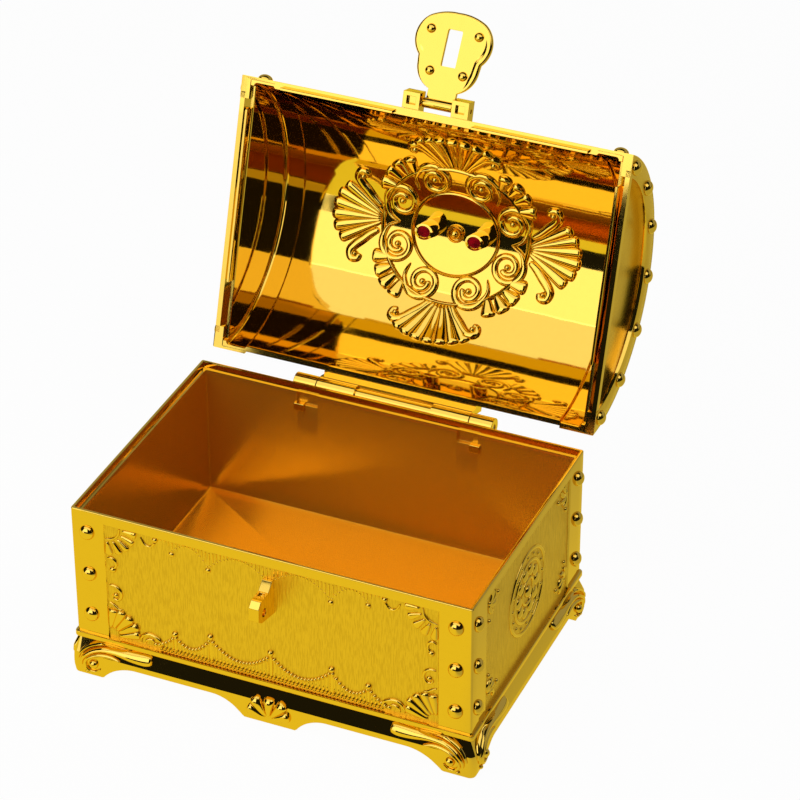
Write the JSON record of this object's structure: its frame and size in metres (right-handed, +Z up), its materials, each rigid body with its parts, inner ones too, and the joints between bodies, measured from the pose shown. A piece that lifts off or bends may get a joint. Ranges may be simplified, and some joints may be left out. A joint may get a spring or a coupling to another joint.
{
  "type": "treasure chest box",
  "caption": "Barrel-topped treasure chest box on bracket feet, with a hinged lid, a swinging slotted hasp, a lock staple and a red stone on the crown.",
  "frame": {"origin": "under the middle of the open chest's box, on the surface that it stands on", "axes": "+X to the right along the hinge pins, -Y to the front where the hasp closes, +Z up"},
  "size_m": [0.1544, 0.1866, 0.1979],
  "materials": {
    "gold_plate": "bright gold plating on moulded plastic",
    "red_stone": "clear red moulded plastic, polished facets",
    "steel": "drawn wire"
  },
  "bodies": {
    "base": {"base_box": "gold_plate", "plinth_frame": "gold_plate", "plinth_screws": "steel", "lock_staple": "gold_plate", "hinge_bracket_right": "gold_plate", "hinge_bracket_left": "gold_plate", "hinge_pin_right": "steel", "hinge_pin_left": "steel"},
    "lid": {"lid_shell": "gold_plate", "hinge_leaf": "gold_plate", "lid_jewel": "red_stone", "hasp_ear_right": "gold_plate", "hasp_ear_left": "gold_plate", "hasp_pin": "steel"},
    "hasp": {"hasp_plate": "gold_plate"}
  },
  "joints": [
    {"name": "lid_hinge", "type": "hinge", "parent": "base", "child": "lid", "pos_m": [0, 0.02607, 0.067], "axis": [1, 0, 0], "range_deg": [0, 107.5]},
    {"name": "hasp_hinge", "type": "hinge", "parent": "lid", "child": "hasp", "pos_m": [0, 0.06528, 0.17008], "axis": [1, 0, 0], "range_deg": [0, 106]}
  ]
}
